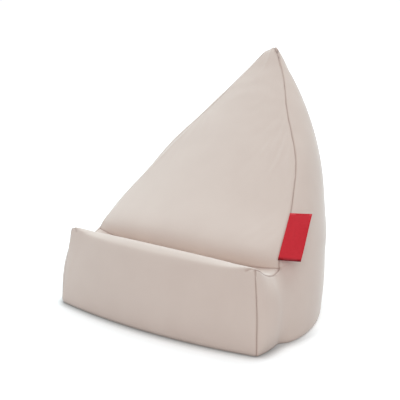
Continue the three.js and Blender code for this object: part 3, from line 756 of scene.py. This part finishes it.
def lay_thread(cover, cad_node, *pair):
    """The thread along the bottom of one seam of the stuffed cover."""
    wanted = {PANELS.index(panel) for panel in pair}
    line = bpy.data.objects.new(cad_node.replace("seam_thread", "stitching"), cover.data.copy())
    bpy.context.collection.objects.link(line)
    mesh = line.data
    panels = panels_by_edge(mesh)
    only(line)
    bpy.context.tool_settings.mesh_select_mode = (False, True, False)
    for part in (mesh.vertices, mesh.polygons):
        part.foreach_set("select", [False] * len(part))
    mesh.edges.foreach_set("select", [set(panels[edge.key]) != wanted for edge in mesh.edges])
    bpy.ops.object.mode_set(mode="EDIT")
    bpy.ops.mesh.delete(type="EDGE_FACE")
    bpy.ops.mesh.select_all(action="SELECT")
    bpy.ops.mesh.delete_loose(use_verts=True, use_edges=False, use_faces=False)
    done()
    only(line)
    bpy.ops.object.convert(target="CURVE")
    line = bpy.context.object
    line.data.bevel_depth = THREAD
    line.data.bevel_resolution = 1
    line.data.use_fill_caps = True
    bpy.ops.object.convert(target="MESH")
    line = bpy.context.object
    dress(line, thread)
    bpy.ops.object.shade_smooth()
    belongs(line, "cushion", "thread", cad_node)


CLOTH = 1.2 * MM


def cut_panel(cover, number, panel):
    """One panel of the stuffed cover as its own piece of cloth, with its thickness inwards."""
    piece = bpy.data.objects.new(panel.replace("panel", "cover"), cover.data.copy())
    bpy.context.collection.objects.link(piece)
    drop_faces(piece, lambda face: face.material_index != number)
    dress(piece, cover_cloth)
    modify(piece, "SOLIDIFY", thickness=CLOTH, offset=-1)
    only(piece)
    bpy.ops.object.shade_smooth_by_angle(angle=math.radians(50))
    belongs(piece, "cushion", "cover_fabric", panel)


def make_cover():
    cover = sewn_cover()
    round_lip(cover)
    stuff(cover)
    calm_ripples(cover)
    crease_seams(cover.data)
    modify(cover, "SUBSURF", levels=1, render_levels=1)
    round_tip(cover)
    turn_under(cover.data)
    roll_seams(cover.data)
    press_tucks(cover.data)
    for number, panel in enumerate(PANELS):
        cut_panel(cover, number, panel)
    for seam in SEWN:
        lay_thread(cover, *seam)
    bpy.data.objects.remove(cover)


make_cover()


# Base panels, their threads and the zip

def draw_in(piece):
    """Brings a base piece in to the turned edge of the cover."""
    for vertex in piece.data.vertices:
        vertex.co.x *= 1 - TURN_SHARE
        vertex.co.y *= 1 - TURN_SHARE


def make_base():
    """Two woven base panels, and the threads along their edges."""
    for side in ("front", "rear"):
        piece = copy_of("base_panel_" + side, "base_cover_" + side)
        draw_in(piece)
        dress(piece, base_cloth)
        only(piece)
        bpy.ops.object.shade_smooth_by_angle(angle=math.radians(40))
        belongs(piece, "cushion", "base_fabric", "base_panel_" + side)
    for side in ("front", "left", "right"):
        piece = copy_of("seam_thread_base_" + side, "stitching_base_" + side)
        draw_in(piece)
        dress(piece, thread)
        only(piece)
        bpy.ops.object.shade_smooth_by_angle(angle=math.radians(50))
        belongs(piece, "cushion", "thread", "seam_thread_base_" + side)


make_base()

COIL_PITCH = 1.5 * MM
COIL_WIRE = 0.32 * MM
COIL_STEPS = 10


def make_coil(side):
    """One row of the zip: a nylon wire wound round, screwed from a small ring along the row."""
    low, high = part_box("zip_coil_" + side)
    middle = (low + high) / 2
    turns = round((high.x - low.x - 2 * COIL_WIRE) / COIL_PITCH)
    radius = (high.z - low.z) / 2 - COIL_WIRE
    bpy.ops.object.select_all(action="DESELECT")
    bpy.ops.mesh.primitive_circle_add(vertices=6, radius=COIL_WIRE)
    coil = bpy.context.object
    coil.name = "zip_wire_" + side
    edit(coil)
    bpy.ops.transform.translate(value=(0, radius, 0))
    done()
    modify(coil, "SCREW", axis="X", angle=math.tau, steps=COIL_STEPS, render_steps=COIL_STEPS,
           iterations=turns, screw_offset=COIL_PITCH)
    edit(coil)
    bpy.context.tool_settings.mesh_select_mode = (True, False, False)
    bpy.ops.mesh.select_all(action="DESELECT")
    bpy.ops.mesh.select_non_manifold(extend=False)
    bpy.ops.mesh.edge_face_add()
    bpy.ops.mesh.select_all(action="SELECT")
    bpy.ops.mesh.normals_make_consistent(inside=False)
    bpy.ops.transform.translate(value=(middle.x - turns * COIL_PITCH / 2, middle.y, middle.z))
    done()
    dress(coil, coil_nylon)
    only(coil)
    bpy.ops.object.shade_smooth()
    belongs(coil, "cushion", "zip_nylon", "zip_coil_" + side)


def bevelled(cad_node, name, width, material, body, slot):
    """A copy of a CAD node with softened edges."""
    piece = copy_of(cad_node, name)
    modify(piece, "BEVEL", width=width, segments=3, limit_method="ANGLE", angle_limit=math.radians(30))
    dress(piece, material)
    only(piece)
    bpy.ops.object.shade_smooth_by_angle(angle=math.radians(35))
    belongs(piece, body, slot, cad_node)


for row in ("front", "rear"):
    make_coil(row)
    bevelled("zip_tape_" + row, "zip_band_" + row, 0.2 * MM, tape_cloth, "cushion", "zip_tape")
for end in ("left", "right"):
    bevelled("zip_stop_" + end, "zip_end_" + end, 0.4 * MM, zinc, "cushion", "zip_metal")
bevelled("zip_slider", "zip_runner", 0.25 * MM, zinc, "slider", "zip_metal")


# Label

LABEL_LONG = 58 * MM
LABEL_WIDE = 20 * MM
LABEL_CURL = 0.7 * MM
LABEL_BORDER = 1.0 * MM
LABEL_ROOT = 2.4 * MM
LABEL_CUTS_LONG = 20
LABEL_CUTS_WIDE = 10
LABEL_WAVES = 0.8
LABEL_WAVE_START = 0.1
LABEL_FOOT_SHARE = 0.02


def make_label():
    """A folded satin tape with a slight curl, its weave laid along the tape and its root in the seam."""
    hinge = next(joint for joint in frame["joints"] if joint["name"] == "label_flap")
    foot = Vector(hinge["pos_m"])
    along = Vector(hinge["axis"]).normalized()
    tape = copy_of("label_tab", "label_tape")
    mesh = tape.data

    def across(point):
        return (point - foot) - along * (point - foot).dot(along)

    out = across(max((v.co for v in mesh.vertices), key=lambda place: across(place).length)).normalized()
    through = along.cross(out)
    edit(tape)
    for way, length, cuts in ((along, LABEL_LONG, LABEL_CUTS_LONG), (out, LABEL_WIDE, LABEL_CUTS_WIDE)):
        for cut in range(1, cuts):
            bpy.ops.mesh.select_all(action="SELECT")
            bpy.ops.mesh.bisect(plane_co=foot + way * length * cut / cuts, plane_no=way)
    done()
    flat = mesh.uv_layers.new(name="tape").data
    border = mesh.attributes.new("woven_edge", "FLOAT", "POINT")
    for face in mesh.polygons:
        for corner in face.loop_indices:
            place = mesh.vertices[mesh.loops[corner].vertex_index].co - foot
            flat[corner].uv = (place.dot(along), place.dot(out))
    for vertex in mesh.vertices:
        place = vertex.co - foot
        run = place.dot(along) / LABEL_LONG
        stand = place.dot(out) / LABEL_WIDE
        rim = min(run, 1 - run) * LABEL_LONG
        border.data[vertex.index].value = 1.0 if rim < LABEL_BORDER else 0.0
        if stand < LABEL_FOOT_SHARE:
            vertex.co -= out * LABEL_ROOT
        curl = math.sin(math.tau * (run * LABEL_WAVES + LABEL_WAVE_START))
        vertex.co += through * LABEL_CURL * stand * stand * curl
    dress(tape, label_cloth)
    only(tape)
    bpy.ops.object.shade_smooth_by_angle(angle=math.radians(40))
    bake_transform(tape)
    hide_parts("label_tab")


make_label()


# Nodes that keep their CAD form

dress(frame["nodes"]["seam_thread_groove"], thread)
dress(frame["nodes"]["lip_foam_bar"], bar_foam)
dress(frame["nodes"]["bead_fill"], bead_foam)
dress(frame["nodes"]["inner_bag"], liner_cloth)


# Stage, camera and light

def backdrop_rays(tree):
    """1 for the rays that should see the white backdrop: camera, mirror and glass rays."""
    path = node(tree, "ShaderNodeLightPath")
    seen = node(tree, "ShaderNodeMath", {"operation": "MAXIMUM"}, _0=path.outputs["Is Camera Ray"],
                _1=path.outputs["Is Glossy Ray"])
    return node(tree, "ShaderNodeMath", {"operation": "MAXIMUM"}, _0=seen.outputs[0],
                _1=path.outputs["Is Transmission Ray"]).outputs[0]


FLOOR_SIZE = 8
CONTACT_SHADOW = 11 * MM
CONTACT_LEAST = 0.4
SHADOW_FRONT = -95 * MM
SHADOW_BACK = -20 * MM
GLOW_FROM = 0.2
GLOW_TO = 0.8
LAMP_AIM = Vector((0, 0, 0.1))
FLOOR_GLOW_NEAR = 0.27
FLOOR_GLOW_FAR = 0.55
ROOM_LIGHT = 0.52
LAMPS = (  # name, place, size, watts and colour
    ("overhead", (-0.3, 0.75, 1.5), 1.2, 20.5, "#e4faff"),
    ("left_box", (-1.3, -0.2, 0.9), 0.9, 5.5, "#dcf6ff"),
    ("front_box", (0.9, -1.05, 1.1), 1.0, 6.5, "#fff6f2"),
)


def studio():
    """White paper floor with a narrow contact shadow in front, a white room and three soft lamps."""
    bpy.ops.mesh.primitive_plane_add(size=FLOOR_SIZE)
    floor = bpy.context.object
    floor.name = "floor"
    material, tree = new_material("white_paper")
    place = node(tree, "ShaderNodeTexCoord")
    away = node(tree, "ShaderNodeVectorMath", {"operation": "LENGTH"}, _0=place.outputs["Object"])
    fade = node(tree, "ShaderNodeMapRange", Value=away.outputs["Value"], From_Min=GLOW_FROM,
                From_Max=GLOW_TO, To_Min=FLOOR_GLOW_NEAR, To_Max=FLOOR_GLOW_FAR)
    seen = node(tree, "ShaderNodeMath", {"operation": "MULTIPLY"}, _0=backdrop_rays(tree), _1=fade.outputs[0])
    close = node(tree, "ShaderNodeAmbientOcclusion", {"samples": 16}, Distance=CONTACT_SHADOW)
    deep = node(tree, "ShaderNodeSeparateXYZ", Vector=place.outputs["Object"])
    behind = node(tree, "ShaderNodeMapRange", Value=deep.outputs["Y"], From_Min=SHADOW_FRONT,
                  From_Max=SHADOW_BACK, To_Min=CONTACT_LEAST)
    dim = node(tree, "ShaderNodeMath", {"operation": "MAXIMUM"}, _0=close.outputs["AO"], _1=behind.outputs[0])
    grey = node(tree, "ShaderNodeMix", {"data_type": "RGBA"}, _0=dim.outputs[0],
                _6=linear("#5c5c5b"), _7=linear("#f2f2f2"))
    seen = node(tree, "ShaderNodeMath", {"operation": "MULTIPLY"}, _0=seen.outputs[0], _1=dim.outputs[0])
    paper = node(tree, "ShaderNodeBsdfDiffuse", Color=grey.outputs[2])
    glow = node(tree, "ShaderNodeEmission", Color=(1, 1, 1, 1), Strength=seen.outputs[0])
    both = node(tree, "ShaderNodeAddShader", _0=paper.outputs[0], _1=glow.outputs[0])
    node(tree, "ShaderNodeOutputMaterial", Surface=both.outputs[0])
    floor.data.materials.append(material)

    world = bpy.data.worlds.new("white_room")
    scene.world = world
    world.use_nodes = True
    tree = world.node_tree
    tree.nodes.clear()
    room = node(tree, "ShaderNodeBackground", Color=(1, 1, 1, 1), Strength=ROOM_LIGHT)
    white = node(tree, "ShaderNodeBackground", Color=(1, 1, 1, 1), Strength=1.0)
    clear = node(tree, "ShaderNodeMixShader", _0=backdrop_rays(tree), _1=room.outputs[0], _2=white.outputs[0])
    node(tree, "ShaderNodeOutputWorld", Surface=clear.outputs[0])

    for name, place, size, watts, tint in LAMPS:
        data = bpy.data.lights.new(name, "AREA")
        data.color = linear(tint)[:3]
        data.size = size
        data.energy = watts
        lamp = bpy.data.objects.new(name, data)
        bpy.context.collection.objects.link(lamp)
        lamp.location = place
        lamp.rotation_euler = (LAMP_AIM - lamp.location).to_track_quat("-Z", "Y").to_euler()


LENS = 90
SENSOR = 36
CAMERA_AT = Vector((549.0, -843.85, 401.74)) * MM
CAMERA_TO = Vector((-4.6, -27.35, 109.53)) * MM


def photo_camera():
    """The camera that was fitted to the photo."""
    data = bpy.data.cameras.new("photo_camera")
    data.lens = LENS
    data.sensor_width = SENSOR
    camera = bpy.data.objects.new("photo_camera", data)
    bpy.context.collection.objects.link(camera)
    camera.location = CAMERA_AT
    camera.rotation_euler = (CAMERA_TO - CAMERA_AT).to_track_quat("-Z", "Y").to_euler()
    scene.camera = camera


photo_camera()
studio()
